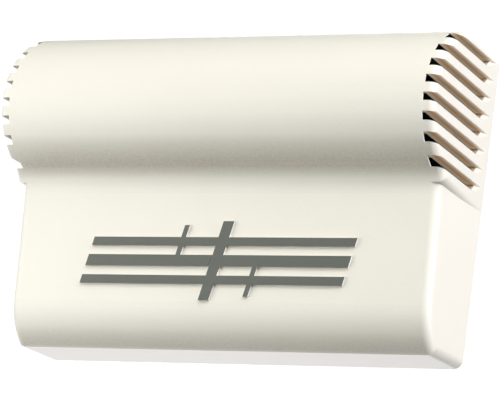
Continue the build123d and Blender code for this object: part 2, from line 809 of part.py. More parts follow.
block.part.label = "terminal_block"
export_step(block.part, "parts/terminal_block.step")

# Brass clamp tubes in the block, drilled for their screws
tube_high = -block_drop - tube_end_margin
tube_length = block_height - 2 * tube_end_margin

with BuildPart() as clamps:
    with BuildSketch(Plane.XY.offset(tube_high)):
        with Locations((0, -tube_front)):
            with GridLocations(pole_spacing, 0, 2, 1):
                Circle(tube_radius)
                Circle(tube_bore_radius, mode=Mode.SUBTRACT)
    extrude(amount=-tube_length)
    with BuildSketch(Plane.XZ.offset(tube_front)):
        with Locations((0, -block_mid_drop)):
            with GridLocations(pole_spacing, clamp_screw_spacing, 2, 2):
                Circle(clamp_screw_radius)
    extrude(amount=tube_radius, mode=Mode.SUBTRACT)
clamps.part.label = "terminal_clamps"
export_step(clamps.part, "parts/terminal_clamps.step")

# Clamp screws, heads just inside the towers and tips down to the wire
clamp_head_depth = block_front - clamp_screw_recess
clamp_tip_depth = tube_front + lead_radius

with BuildPart() as clamp_screws:
    with BuildSketch(Plane.XZ.offset(clamp_head_depth)):
        with Locations((0, -block_mid_drop)):
            with GridLocations(pole_spacing, clamp_screw_spacing, 2, 2):
                Circle(clamp_screw_head_radius)
                Rectangle(
                    2 * clamp_screw_head_radius, screw_slot_width, rotation=tape_lap_angle,
                    mode=Mode.SUBTRACT,
                )
    extrude(amount=-screw_slot_depth)
    with BuildSketch(Plane.XZ.offset(clamp_head_depth - screw_slot_depth)):
        with Locations((0, -block_mid_drop)):
            with GridLocations(pole_spacing, clamp_screw_spacing, 2, 2):
                Circle(clamp_screw_head_radius)
    extrude(amount=screw_slot_depth - clamp_screw_head_height)
    with BuildSketch(Plane.XZ.offset(clamp_head_depth - clamp_screw_head_height)):
        with Locations((0, -block_mid_drop)):
            with GridLocations(pole_spacing, clamp_screw_spacing, 2, 2):
                Circle(clamp_screw_radius)
    extrude(amount=clamp_tip_depth - clamp_head_depth + clamp_screw_head_height)
clamp_screws.part.label = "terminal_screws"
export_step(clamp_screws.part, "parts/terminal_screws.step")

# Screw that holds the terminal block down
block_head_depth = base_thickness + pole_tower_depth * 3 / 2
block_screw_length = block_head_depth - base_thickness - screw_tip_gap
with BuildPart() as block_screw:
    with BuildSketch(Plane.XZ.offset(block_head_depth)):
        with Locations((0, -block_mid_drop)):
            Circle(block_screw_head_radius)
    extrude(amount=block_screw_head_height)
    with BuildSketch(Plane.XZ.offset(block_head_depth)):
        with Locations((0, -block_mid_drop)):
            Circle(block_screw_radius)
    extrude(amount=-block_screw_length)
    with BuildSketch(Plane.XZ.offset(block_head_depth + block_screw_head_height)):
        with Locations((0, -block_mid_drop)):
            Rectangle(2 * block_screw_head_radius, screw_slot_width, rotation=tape_lap_angle)
    extrude(amount=-screw_slot_depth, mode=Mode.SUBTRACT)
block_screw.part.label = "terminal_block_screw"
export_step(block_screw.part, "parts/terminal_block_screw.step")

# Coil leads, from the bobbin lugs back to the base plate, down behind the lower bar and
# into the tops of the clamp tubes
lead_back = base_thickness + lead_back_gap
lug_low = winding_low - bobbin_flange
lead_pass_rise = lower_bar_rise - lead_pass_drop
lead_end = tube_high - lead_entry_depth
for side, lead_name in ((-1, "coil_lead_left"), (1, "coil_lead_right")):
    lug_x = side * (lug_reach - lead_lug_offset)
    pole_x = side * pole_spacing / 2
    lead_points = [
        Vector(lug_x, -strike_depth, lug_low),
        Vector(lug_x, -strike_depth, lug_low - lead_first_drop),
        Vector(lug_x, -lead_back, lug_low - lead_first_drop - lead_back_gap),
        Vector((lug_x + pole_x) / 2, -lead_back, lead_pass_rise),
        Vector(pole_x, -tube_front, lead_turn_rise - block_drop),
        Vector(pole_x, -tube_front, lead_end),
    ]
    lead_radii = []
    for before, corner, after in zip(lead_points, lead_points[1:], lead_points[2:]):
        shorter = min((corner - before).length, (after - corner).length)
        half_bend = (corner - before).get_angle(after - corner) / 2
        lead_radii.append(0.45 * shorter / tan(radians(half_bend)))
    print(lead_name, "bend radii", [round(radius, 2) for radius in lead_radii])
    with BuildPart() as lead:
        with BuildLine() as lead_path:
            FilletPolyline(*lead_points, radius=lead_radii)
        with BuildSketch(Plane(origin=lead_path.wire() @ 0, z_dir=lead_path.wire() % 0)):
            Circle(lead_radius)
        sweep(path=lead_path.wire())
    lead.part.label = lead_name
    export_step(lead.part, "parts/" + lead_name + ".step")
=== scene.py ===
from math import cos, pi, radians, sin

import bpy
from mathutils import Matrix, Vector


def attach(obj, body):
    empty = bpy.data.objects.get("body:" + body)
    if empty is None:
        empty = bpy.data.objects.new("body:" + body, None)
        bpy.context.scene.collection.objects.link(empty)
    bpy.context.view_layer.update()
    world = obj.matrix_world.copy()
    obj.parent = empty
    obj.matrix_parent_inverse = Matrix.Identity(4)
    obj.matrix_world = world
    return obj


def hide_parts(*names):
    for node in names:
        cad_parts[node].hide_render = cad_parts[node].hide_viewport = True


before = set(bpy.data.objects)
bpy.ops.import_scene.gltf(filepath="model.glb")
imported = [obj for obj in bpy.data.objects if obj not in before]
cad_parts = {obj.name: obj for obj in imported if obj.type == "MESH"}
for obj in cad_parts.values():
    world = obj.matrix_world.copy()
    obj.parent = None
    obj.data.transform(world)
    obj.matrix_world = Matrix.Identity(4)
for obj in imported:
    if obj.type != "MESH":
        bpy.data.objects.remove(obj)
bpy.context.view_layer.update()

# Base plate
# The plate that is screwed to the wall and carries the chime. Black ABS, injection moulded
# in one shot with its shelves, bosses and tongues, so its faces are plain satin plastic.
MM = 0.001


def linear(hex_colour):
    """An sRGB hex colour as the linear RGBA that shader sockets hold."""
    channels = [int(hex_colour[i:i + 2], 16) / 255 for i in (1, 3, 5)]
    return [c / 12.92 if c < 0.04045 else ((c + 0.055) / 1.055) ** 2.4 for c in channels] + [1]


def add_node(tree, kind, inputs=None, **settings):
    """Adds a node with its settings, and sets or links each input, given by name or number."""
    node = tree.nodes.new(kind)
    for name, value in settings.items():
        setattr(node, name, value)
    for name, value in (inputs or {}).items():
        if isinstance(value, bpy.types.NodeSocket):
            tree.links.new(value, node.inputs[name])
        else:
            node.inputs[name].default_value = value
    return node


def finished(name, surface):
    """A material whose shader is built by the surface function on Object coordinates."""
    material = bpy.data.materials.new(name)
    material.use_nodes = True
    tree = material.node_tree
    tree.nodes.clear()
    place = add_node(tree, "ShaderNodeTexCoord").outputs["Object"]
    shader = surface(tree, place)
    add_node(tree, "ShaderNodeOutputMaterial", {"Surface": shader.outputs["BSDF"]})
    return material


def dress(node_name, material):
    """Gives a CAD node its finish."""
    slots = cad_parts[node_name].data.materials
    for index in range(len(slots)):
        slots[index] = material


def spark_eroded(tree, place, grain_mm, depth_mm):
    """Normal of a plastic skin moulded against a spark-eroded tool: fine even pits."""
    pits = add_node(tree, "ShaderNodeTexNoise", {
        "Vector": place, "Scale": 1 / (grain_mm * MM), "Detail": 2.0, "Roughness": 0.55,
    })
    return add_node(tree, "ShaderNodeBump", {
        "Height": pits.outputs["Fac"], "Distance": depth_mm * MM, "Strength": 1.0,
    }).outputs["Normal"]


def black_moulded_abs(tree, place):
    cloud = add_node(tree, "ShaderNodeTexNoise", {
        "Vector": place, "Scale": 1 / (9 * MM), "Detail": 3.0,
    })
    shade = add_node(tree, "ShaderNodeValToRGB", {"Fac": cloud.outputs["Fac"]})
    shade.color_ramp.elements[0].color = linear("#161615")
    shade.color_ramp.elements[1].color = linear("#222220")
    return add_node(tree, "ShaderNodeBsdfPrincipled", {
        "Base Color": shade.outputs["Color"],
        "Roughness": 0.46,
        "IOR": 1.54,
        "Normal": spark_eroded(tree, place, 0.5, 0.03),
    })


dress("base_plate", finished("black_moulded_abs", black_moulded_abs))

# Tone bars
# Two flat bars cut from cold-rolled steel strip and bright zinc plated. Rolling leaves fine
# lines along each bar, and the plating a soft bluish cloud.


def zinc_plated_strip(tree, place):
    along = add_node(tree, "ShaderNodeMapping", {
        "Vector": place, "Scale": (1 / (60 * MM), 1 / (0.35 * MM), 1 / (0.35 * MM)),
    })
    rolled = add_node(tree, "ShaderNodeTexNoise", {
        "Vector": along.outputs["Vector"], "Scale": 1.0, "Detail": 4.0,
    })
    cloud = add_node(tree, "ShaderNodeTexNoise", {
        "Vector": place, "Scale": 1 / (14 * MM), "Detail": 3.0,
    })
    tint = add_node(tree, "ShaderNodeValToRGB", {"Fac": cloud.outputs["Fac"]})
    tint.color_ramp.elements[0].color = linear("#A6A8A8")
    tint.color_ramp.elements[1].color = linear("#C9CACB")
    sheen = add_node(tree, "ShaderNodeMapRange", {
        "Value": rolled.outputs["Fac"], "To Min": 0.22, "To Max": 0.42,
    })
    bump = add_node(tree, "ShaderNodeBump", {
        "Height": rolled.outputs["Fac"], "Distance": 0.01 * MM, "Strength": 0.6,
    })
    return add_node(tree, "ShaderNodeBsdfPrincipled", {
        "Base Color": tint.outputs["Color"],
        "Metallic": 1.0,
        "Roughness": sheen.outputs["Result"],
        "Normal": bump.outputs["Normal"],
    })


plated_strip = finished("zinc_plated_strip", zinc_plated_strip)
for bar in ("upper_tone_bar", "lower_tone_bar"):
    dress(bar, plated_strip)

# Grommets
# Soft black rubber rings that hold the bars at their still points, compression moulded,
# with a dull skin that catches a little dust.


def dull_rubber(tree, place):
    bloom = add_node(tree, "ShaderNodeTexNoise", {
        "Vector": place, "Scale": 1 / (2.5 * MM), "Detail": 3.0,
    })
    shade = add_node(tree, "ShaderNodeValToRGB", {"Fac": bloom.outputs["Fac"]})
    shade.color_ramp.elements[0].color = linear("#1B1A19")
    shade.color_ramp.elements[1].color = linear("#2E2D2B")
    return add_node(tree, "ShaderNodeBsdfPrincipled", {
        "Base Color": shade.outputs["Color"],
        "Roughness": 0.72,
        "IOR": 1.52,
        "Normal": spark_eroded(tree, place, 0.4, 0.03),
    })


rubber = finished("dull_rubber", dull_rubber)
for corner in ("upper_left", "upper_right", "lower_left", "lower_right"):
    dress("grommet_" + corner, rubber)

# Push pins, bobbin and strikers
# Natural nylon 66, moulded without pigment, so it is a milky ivory with a waxy gloss and
# light passes a little way into it.


def natural_nylon(tree, place):
    haze = add_node(tree, "ShaderNodeTexNoise", {
        "Vector": place, "Scale": 1 / (3 * MM), "Detail": 2.0,
    })
    shade = add_node(tree, "ShaderNodeValToRGB", {"Fac": haze.outputs["Fac"]})
    shade.color_ramp.elements[0].color = linear("#D9D4C2")
    shade.color_ramp.elements[1].color = linear("#ECE9DC")
    return add_node(tree, "ShaderNodeBsdfPrincipled", {
        "Base Color": shade.outputs["Color"],
        "Roughness": 0.36,
        "IOR": 1.53,
        "Subsurface Weight": 0.15,
        "Subsurface Radius": (1.2 * MM, 1.0 * MM, 0.7 * MM),
        "Subsurface Scale": 1.0,
        "Normal": spark_eroded(tree, place, 0.8, 0.02),
    })


nylon = finished("natural_nylon", natural_nylon)
for piece in ("tone_bar_pins", "solenoid_bobbin", "lower_striker", "upper_striker"):
    dress(piece, nylon)

# Solenoid yoke
# A steel strip bent to a C and zinc plated with a thin yellow passivation, which shows as
# faint straw and blue drifts over fine rolling lines.


def passivated_steel(tree, place):
    drift = add_node(tree, "ShaderNodeTexNoise", {
        "Vector": place, "Scale": 1 / (8 * MM), "Detail": 3.0, "Distortion": 0.6,
    })
    tint = add_node(tree, "ShaderNodeValToRGB", {"Fac": drift.outputs["Fac"]})
    tint.color_ramp.elements[0].color = linear("#B7B5A6")
    tint.color_ramp.elements[1].color = linear("#CFC79C")
    fine = add_node(tree, "ShaderNodeTexNoise", {
        "Vector": place, "Scale": 1 / (0.5 * MM), "Detail": 3.0,
    })
    sheen = add_node(tree, "ShaderNodeMapRange", {
        "Value": fine.outputs["Fac"], "To Min": 0.28, "To Max": 0.46,
    })
    return add_node(tree, "ShaderNodeBsdfPrincipled", {
        "Base Color": tint.outputs["Color"],
        "Metallic": 1.0,
        "Roughness": sheen.outputs["Result"],
    })


dress("solenoid_yoke", finished("passivated_steel", passivated_steel))

# Winding
# Enamelled copper wire, wound in close turns round the bobbin. Only its outer turns are made,
# as rings of 0.4 mm wire, a little coarser than the real wire, so that they show.
coil_outer_radius = 12.05 * MM
coil_wire_radius = 0.2 * MM
coil_turns = 51
coil_first_turn = (0, -24 * MM, 19.5 * MM)


def enamelled_copper(tree, place):
    burnish = add_node(tree, "ShaderNodeTexNoise", {
        "Vector": place, "Scale": 1 / (4 * MM), "Detail": 2.0,
    })
    tint = add_node(tree, "ShaderNodeValToRGB", {"Fac": burnish.outputs["Fac"]})
    tint.color_ramp.elements[0].color = linear("#8A3F1E")
    tint.color_ramp.elements[1].color = linear("#B5633A")
    return add_node(tree, "ShaderNodeBsdfPrincipled", {
        "Base Color": tint.outputs["Color"],
        "Metallic": 0.85,
        "Roughness": 0.3,
        "Coat Weight": 0.6,
        "Coat Roughness": 0.12,
    })


def wound_turns(material):
    """Rings of wire stacked along Z: sizes and count are the tree's named inputs."""
    tree = bpy.data.node_groups.new("wound_turns", "GeometryNodeTree")
    tree.interface.new_socket("Geometry", in_out="INPUT", socket_type="NodeSocketGeometry")
    tree.interface.new_socket("Coil Radius", in_out="INPUT", socket_type="NodeSocketFloat")
    tree.interface.new_socket("Wire Radius", in_out="INPUT", socket_type="NodeSocketFloat")
    tree.interface.new_socket("Pitch", in_out="INPUT", socket_type="NodeSocketVector")
    tree.interface.new_socket("Turns", in_out="INPUT", socket_type="NodeSocketInt")
    tree.interface.new_socket("Geometry", in_out="OUTPUT", socket_type="NodeSocketGeometry")
    given = tree.nodes.new("NodeGroupInput").outputs
    ring = add_node(tree, "GeometryNodeCurvePrimitiveCircle", {
        "Resolution": 72, "Radius": given["Coil Radius"],
    })
    wire = add_node(tree, "GeometryNodeCurvePrimitiveCircle", {
        "Resolution": 8, "Radius": given["Wire Radius"],
    })
    turn = add_node(tree, "GeometryNodeCurveToMesh", {
        "Curve": ring.outputs["Curve"], "Profile Curve": wire.outputs["Curve"],
    })
    places = add_node(tree, "GeometryNodeMeshLine", {
        "Count": given["Turns"], "Offset": given["Pitch"],
    })
    turns = add_node(tree, "GeometryNodeInstanceOnPoints", {
        "Points": places.outputs["Mesh"], "Instance": turn.outputs["Mesh"],
    })
    solid = add_node(tree, "GeometryNodeRealizeInstances", {
        "Geometry": turns.outputs["Instances"],
    })
    enamel = add_node(tree, "GeometryNodeSetMaterial", {
        "Geometry": solid.outputs["Geometry"], "Material": material,
    })
    result = tree.nodes.new("NodeGroupOutput")
    tree.links.new(enamel.outputs["Geometry"], result.inputs["Geometry"])
    return tree


def grown(tree, values):
    """The plain mesh that a tree gives with these values for its named inputs."""
    seed_mesh = bpy.data.meshes.new("growing")
    host = bpy.data.objects.new("growing", seed_mesh)
    bpy.context.scene.collection.objects.link(host)
    modifier = host.modifiers.new("grow", "NODES")
    modifier.node_group = tree
    for item in tree.interface.items_tree:
        if item.in_out == "INPUT" and item.name in values:
            modifier[item.identifier] = values[item.name]
    mesh = bpy.data.meshes.new_from_object(
        host.evaluated_get(bpy.context.evaluated_depsgraph_get())
    )
    host.modifiers.remove(modifier)
    bpy.data.objects.remove(host)
    bpy.data.meshes.remove(seed_mesh)
    return mesh


copper = finished("enamelled_copper", enamelled_copper)
coil_mesh = grown(wound_turns(copper), {
    "Coil Radius": coil_outer_radius - coil_wire_radius,
    "Wire Radius": coil_wire_radius,
    "Pitch": (0, 0, 2 * coil_wire_radius),
    "Turns": coil_turns,
})
coil_mesh.transform(Matrix.Translation(coil_first_turn))
coil_mesh.shade_smooth()
winding_turns = bpy.data.objects.new("winding_turns", coil_mesh)
bpy.context.scene.collection.objects.link(winding_turns)
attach(winding_turns, "base")
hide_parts("coil_winding")

# Coil tape
# One turn of thin yellow polyester tape holds the winding. It is glossy, and shows the
# wires under it as soft level ridges.


def polyester_tape(tree, place):
    ridges = add_node(tree, "ShaderNodeTexWave", {
        "Vector": place, "Scale": 1 / (6.4 * MM), "Distortion": 0.4, "Detail": 1.0,
    }, bands_direction="Z")
    cloud = add_node(tree, "ShaderNodeTexNoise", {
        "Vector": place, "Scale": 1 / (5 * MM), "Detail": 2.0,
    })
    tint = add_node(tree, "ShaderNodeValToRGB", {"Fac": cloud.outputs["Fac"]})
    tint.color_ramp.elements[0].color = linear("#B98A1C")
    tint.color_ramp.elements[1].color = linear("#D9AE3A")
    bump = add_node(tree, "ShaderNodeBump", {
        "Height": ridges.outputs["Fac"], "Distance": 0.03 * MM, "Strength": 0.5,
    })
    return add_node(tree, "ShaderNodeBsdfPrincipled", {
        "Base Color": tint.outputs["Color"],
        "Roughness": 0.22,
        "IOR": 1.57,
        "Normal": bump.outputs["Normal"],
    })


dress("coil_tape", finished("polyester_tape", polyester_tape))

# Screws
# Zinc-plated machine screws with a straight slot: bright turned heads, slightly dulled by
# the plating.


def plated_screw(tree, place):
    fleck = add_node(tree, "ShaderNodeTexNoise", {
        "Vector": place, "Scale": 1 / (0.6 * MM), "Detail": 3.0,
    })
    tint = add_node(tree, "ShaderNodeValToRGB", {"Fac": fleck.outputs["Fac"]})
    tint.color_ramp.elements[0].color = linear("#A9A9A7")
    tint.color_ramp.elements[1].color = linear("#D0D0CE")
    return add_node(tree, "ShaderNodeBsdfPrincipled", {
        "Base Color": tint.outputs["Color"],
        "Metallic": 1.0,
        "Roughness": 0.3,
    })


screw_finish = finished("plated_screw", plated_screw)
for screws in ("yoke_screws", "terminal_screws", "terminal_block_screw"):
    dress(screws, screw_finish)

# Plunger core
# Turned free-cutting steel, left bare and lightly oiled, with fine rings round it from the
# lathe tool.


def turned_steel(tree, place):
    rings = add_node(tree, "ShaderNodeTexWave", {
        "Vector": place, "Scale": 1 / (3.2 * MM), "Distortion": 0.3, "Detail": 2.0,
    }, bands_direction="Z")
    sheen = add_node(tree, "ShaderNodeMapRange", {
        "Value": rings.outputs["Fac"], "To Min": 0.2, "To Max": 0.34,
    })
    bump = add_node(tree, "ShaderNodeBump", {
        "Height": rings.outputs["Fac"], "Distance": 0.008 * MM, "Strength": 0.6,
    })
    return add_node(tree, "ShaderNodeBsdfPrincipled", {
        "Base Color": linear("#9B9A97"),
        "Metallic": 1.0,
        "Roughness": sheen.outputs["Result"],
        "Normal": bump.outputs["Normal"],
    })


dress("plunger_core", finished("turned_steel", turned_steel))

# Return spring
# Drawn spring wire with a thin oil film: dark, smooth and quite glossy.


def spring_wire(tree, place):
    film = add_node(tree, "ShaderNodeTexNoise", {
        "Vector": place, "Scale": 1 / (0.8 * MM), "Detail": 2.0,
    })
    sheen = add_node(tree, "ShaderNodeMapRange", {
        "Value": film.outputs["Fac"], "To Min": 0.2, "To Max": 0.36,
    })
    return add_node(tree, "ShaderNodeBsdfPrincipled", {
        "Base Color": linear("#8C8C8A"),
        "Metallic": 1.0,
        "Roughness": sheen.outputs["Result"],
    })


dress("return_spring", finished("spring_wire", spring_wire))

# Terminal block and its clamps
# The block is white polyamide with a satin skin; the clamps in it are cut from drawn brass
# tube, slightly darkened by handling.


def white_polyamide(tree, place):
    haze = add_node(tree, "ShaderNodeTexNoise", {
        "Vector": place, "Scale": 1 / (4 * MM), "Detail": 2.0,
    })
    shade = add_node(tree, "ShaderNodeValToRGB", {"Fac": haze.outputs["Fac"]})
    shade.color_ramp.elements[0].color = linear("#DEDDD6")
    shade.color_ramp.elements[1].color = linear("#EEEDE8")
    return add_node(tree, "ShaderNodeBsdfPrincipled", {
        "Base Color": shade.outputs["Color"],
        "Roughness": 0.42,
        "IOR": 1.53,
        "Normal": spark_eroded(tree, place, 0.4, 0.015),
    })


def drawn_brass(tree, place):
    drawn = add_node(tree, "ShaderNodeTexNoise", {
        "Vector": place, "Scale": 1 / (1.5 * MM), "Detail": 3.0,
    })
    tint = add_node(tree, "ShaderNodeValToRGB", {"Fac": drawn.outputs["Fac"]})
    tint.color_ramp.elements[0].color = linear("#A9853F")
    tint.color_ramp.elements[1].color = linear("#D3B266")
    return add_node(tree, "ShaderNodeBsdfPrincipled", {
        "Base Color": tint.outputs["Color"],
        "Metallic": 1.0,
        "Roughness": 0.28,
    })


dress("terminal_block", finished("white_polyamide", white_polyamide))
dress("terminal_clamps", finished("drawn_brass", drawn_brass))

# Coil leads
# Thin stranded wire in soft PVC, one red and one black, glossy with a faint drag texture
# from the extruder.


def soft_pvc(dark, light):
    def surface(tree, place):
        drag = add_node(tree, "ShaderNodeTexNoise", {
            "Vector": place, "Scale": 1 / (0.9 * MM), "Detail": 2.0,
        })
        shade = add_node(tree, "ShaderNodeValToRGB", {"Fac": drag.outputs["Fac"]})
        shade.color_ramp.elements[0].color = linear(dark)
        shade.color_ramp.elements[1].color = linear(light)
        return add_node(tree, "ShaderNodeBsdfPrincipled", {
            "Base Color": shade.outputs["Color"],
            "Roughness": 0.3,
            "IOR": 1.53,
        })
    return surface


dress("coil_lead_left", finished("red_pvc", soft_pvc("#7E130C", "#9C2015")))
dress("coil_lead_right", finished("black_pvc", soft_pvc("#121212", "#1F1F1E")))

# Cover
# One ivory ABS moulding. The tool is spark eroded on the front, so the skin has a fine grain
# and a soft sheen, while the flat underside is plain and smoother. The faces inside the bulge
# are painted near black as painted shade, so the louvres read dark.
wall_side = 95 * MM
wall_depth = 5 * MM
flare = radians(4)
sole_level = -62 * MM
bulge_axis = (0, -25.8 * MM, 34 * MM)


def grain_and_painted_shade(tree, place, spot, face):
    """Colour and normal of the ivory, with its grain.

    Where the front leans down, the grain is deeper, and its pits are painted darker: painted shade
    on the faces that lean down.
    """
    pits = add_node(tree, "ShaderNodeTexNoise", {
        "Vector": place, "Scale": 1 / (0.7 * MM), "Detail": 2.5, "Roughness": 0.6,
    })
    leans_down = add_node(tree, "ShaderNodeMapRange", {
        "Value": face["Z"], "From Min": -0.5, "From Max": -0.85,
    })
    faces_front = add_node(tree, "ShaderNodeMapRange", {
        "Value": face["X"], "From Min": 0.4, "From Max": 0.2,
    })
    leaning = add_node(tree, "ShaderNodeMath", {
        0: leans_down.outputs["Result"], 1: faces_front.outputs["Result"],
    }, operation="MULTIPLY")
    above_sole = add_node(tree, "ShaderNodeMapRange", {
        "Value": spot["Z"],
        "From Min": sole_level + 0.1 * MM, "From Max": sole_level + 0.8 * MM,
    })
    depth = add_node(tree, "ShaderNodeMapRange", {
        "Value": leaning.outputs["Value"], "To Min": 0.07 * MM, "To Max": 0.15 * MM,
    })
    strength = add_node(tree, "ShaderNodeMapRange", {
        "Value": above_sole.outputs["Result"], "To Min": 0.1, "To Max": 1.0,
    })
    skin = add_node(tree, "ShaderNodeBump", {
        "Height": pits.outputs["Fac"],
        "Distance": depth.outputs["Result"],
        "Strength": strength.outputs["Result"],
    })
    flow = add_node(tree, "ShaderNodeTexNoise", {
        "Vector": place, "Scale": 1 / (35 * MM), "Detail": 2.0,
    })
    ivory = add_node(tree, "ShaderNodeValToRGB", {"Fac": flow.outputs["Fac"]})
    ivory.color_ramp.elements[0].color = linear("#E5E1D1")
    ivory.color_ramp.elements[1].color = linear("#E8E4D4")
    pit_floor = add_node(tree, "ShaderNodeMapRange", {
        "Value": pits.outputs["Fac"], "From Min": 1.0, "From Max": 0.1,
    })
    leaning_front = add_node(tree, "ShaderNodeMath", {
        0: leaning.outputs["Value"], 1: above_sole.outputs["Result"],
    }, operation="MULTIPLY")
    # Painted shade: on faces that lean down, the pits are mixed toward a darker ivory, #B4AD9A.
    painted_pit_shade = add_node(tree, "ShaderNodeMath", {
        0: leaning_front.outputs["Value"], 1: pit_floor.outputs["Result"],
    }, operation="MULTIPLY")
    grain_with_painted_shade = add_node(tree, "ShaderNodeMix", {
        "Factor": painted_pit_shade.outputs["Value"], 6: ivory.outputs["Color"], 7: linear("#B4AD9A"),
    }, data_type="RGBA")
    return grain_with_painted_shade.outputs[2], skin.outputs["Normal"]


def painted_slot_shade(tree, colour, spot, face, inset):
    """Painted shade on the slots' ceilings at the right end: brown part way in, and painted light
    further in.

    The painted shade grows and fades with the depth in the wall, from its mouth to the inside.
    """
    # Painted shade and painted light: brown at mid depth in each slot, lighter than the ivory
    # further in.
    tint = add_node(tree, "ShaderNodeValToRGB", {"Fac": inset})
    tint.color_ramp.elements[0].color = linear("#E5E1D1")
    tint.color_ramp.elements[1].color = linear("#F6EEDC")
    for share_of_depth, shade in ((0.1, "#E4D0B4"), (0.25, "#E6BE93"), (0.4, "#DCAA79"),
                                  (0.55, "#F6D4A8"), (0.7, "#FFF3DF")):
        tint.color_ramp.elements.new(share_of_depth).color = linear(shade)
    ceiling = add_node(tree, "ShaderNodeMapRange", {
        "Value": face["Z"], "From Min": -0.8, "From Max": -0.96,
    })
    above_foot = add_node(tree, "ShaderNodeMapRange", {
        "Value": spot["Z"], "From Min": 5.5 * MM, "From Max": 6.5 * MM,
    })
    right_end = add_node(tree, "ShaderNodeMapRange", {
        "Value": spot["X"], "From Min": 0, "From Max": 10 * MM,
    })
    slot_ceiling = add_node(tree, "ShaderNodeMath", {
        0: ceiling.outputs["Result"], 1: above_foot.outputs["Result"],
    }, operation="MULTIPLY")
    slot_shade_mask = add_node(tree, "ShaderNodeMath", {
        0: slot_ceiling.outputs["Value"], 1: right_end.outputs["Result"],
    }, operation="MULTIPLY")
    return add_node(tree, "ShaderNodeMix", {
        "Factor": slot_shade_mask.outputs["Value"], 6: colour, 7: tint.outputs["Color"],
    }, data_type="RGBA").outputs[2]


def painted_flank_highlight(tree, colour, spot, face):
    """Painted highlight on the right flanks of the raised stripes: a purer white, so that they
    show as bright lines.
    """
    faces_right = add_node(tree, "ShaderNodeMapRange", {
        "Value": face["X"], "From Min": 0.8, "From Max": 0.9,
    })
    from_middle = add_node(tree, "ShaderNodeMath", {0: spot["X"]}, operation="ABSOLUTE")
    on_panel = add_node(tree, "ShaderNodeMapRange", {
        "Value": from_middle.outputs["Value"], "From Min": 80 * MM, "From Max": 79 * MM,
    })
    flank_highlight = add_node(tree, "ShaderNodeMath", {
        0: faces_right.outputs["Result"], 1: on_panel.outputs["Result"],
    }, operation="MULTIPLY")
    # Painted highlight: the right-facing flanks are mixed to near white, #FFFFFB.
    return add_node(tree, "ShaderNodeMix", {
        "Factor": flank_highlight.outputs["Value"], 6: colour, 7: linear("#FFFFFB"),
    }, data_type="RGBA").outputs[2]


def painted_inside_shade(tree, colour, place, spot, facing, inset):
    """Painted shade: the faces inside the bulge that look toward its axis are painted near black.
    """
    from_axis = add_node(tree, "ShaderNodeVectorMath", {
        0: place, 1: bulge_axis,
    }, operation="SUBTRACT")
    outward = add_node(tree, "ShaderNodeVectorMath", {
        0: from_axis.outputs["Vector"], 1: facing,
    }, operation="DOT_PRODUCT")
    inward = add_node(tree, "ShaderNodeMapRange", {
        "Value": outward.outputs["Value"], "From Min": 0, "From Max": -0.2 * MM,
    })
    past_wall = add_node(tree, "ShaderNodeMapRange", {
        "Value": inset, "From Min": 0.86, "From Max": 0.9,
    })
    in_bulge = add_node(tree, "ShaderNodeMapRange", {
        "Value": spot["Z"], "From Min": 2 * MM, "From Max": 4 * MM,
    })
    within = add_node(tree, "ShaderNodeMath", {
        0: past_wall.outputs["Result"], 1: in_bulge.outputs["Result"],
    }, operation="MULTIPLY")
    painted = add_node(tree, "ShaderNodeMath", {
        0: inward.outputs["Result"], 1: within.outputs["Value"],
    }, operation="MULTIPLY")
    # Painted shade: the inside of the bulge is mixed to near black, #1B1917, so the louvres read
    # dark.
    return add_node(tree, "ShaderNodeMix", {
        "Factor": painted.outputs["Value"], 6: colour, 7: linear("#1B1917"),
    }, data_type="RGBA").outputs[2]


def ivory_abs(tree, place):
    spot = add_node(tree, "ShaderNodeSeparateXYZ", {"Vector": place}).outputs
    facing = add_node(tree, "ShaderNodeTexCoord").outputs["Normal"]
    face = add_node(tree, "ShaderNodeSeparateXYZ", {"Vector": facing}).outputs
    # Both ends flare alike, so the depth in either end's wall, from 0 at its outside to 1 at
    # its inside, is measured on the same slanted line.
    one_side = add_node(tree, "ShaderNodeVectorMath", {0: place}, operation="ABSOLUTE")
    reach = add_node(tree, "ShaderNodeVectorMath", {
        0: one_side.outputs["Vector"], 1: (cos(flare), -sin(flare), 0),
    }, operation="DOT_PRODUCT")
    inset = add_node(tree, "ShaderNodeMapRange", {
        "Value": reach.outputs["Value"],
        "From Min": wall_side * cos(flare), "From Max": wall_side * cos(flare) - wall_depth,
    }).outputs["Result"]

    colour, normal = grain_and_painted_shade(tree, place, spot, face)
    colour = painted_slot_shade(tree, colour, spot, face, inset)
    colour = painted_flank_highlight(tree, colour, spot, face)
    colour = painted_inside_shade(tree, colour, place, spot, facing, inset)
    return add_node(tree, "ShaderNodeBsdfPrincipled", {
        "Base Color": colour,
        "Roughness": 0.5,
        "IOR": 1.54,
        "Normal": normal,
    })


dress("cover", finished("ivory_abs", ivory_abs))

# Stripe trim
# A thin plate of dark pewter foil, die cut in one piece and pressed on the raised stripes. It
# is satin and even, with a slight green cast and a fine tooth from the press.


def pewter_foil(tree, place):
    press = add_node(tree, "ShaderNodeTexNoise", {
        "Vector": place, "Scale": 1 / (0.7 * MM), "Detail": 2.0,
    })
    shade = add_node(tree, "ShaderNodeValToRGB", {"Fac": press.outputs["Fac"]})
    shade.color_ramp.elements[0].color = linear("#565A50")
    shade.color_ramp.elements[1].color = linear("#60645A")
    return add_node(tree, "ShaderNodeBsdfPrincipled", {
        "Base Color": shade.outputs["Color"],
        "Metallic": 0.2,
        "Roughness": 0.55,
        "Normal": spark_eroded(tree, place, 0.5, 0.01),
    })


dress("stripe_trim", finished("pewter_foil", pewter_foil))

# Studio
# A pale paper floor far below the box and a white surround. Softboxes stand above, in front,
# at both sides and behind; cards low at both sides and below light the faces that lean down
# and the underside.
floor_half = 2.5
floor_level = -2.2
floor_signs = ((-1, -1), (1, -1), (1, 1), (-1, 1))
floor_mesh = bpy.data.meshes.new("studio_floor")
floor_mesh.from_pydata(
    [(x * floor_half, y * floor_half, floor_level) for x, y in floor_signs],
    [], [(0, 1, 2, 3)],
)
floor = bpy.data.objects.new("studio_floor", floor_mesh)
bpy.context.scene.collection.objects.link(floor)


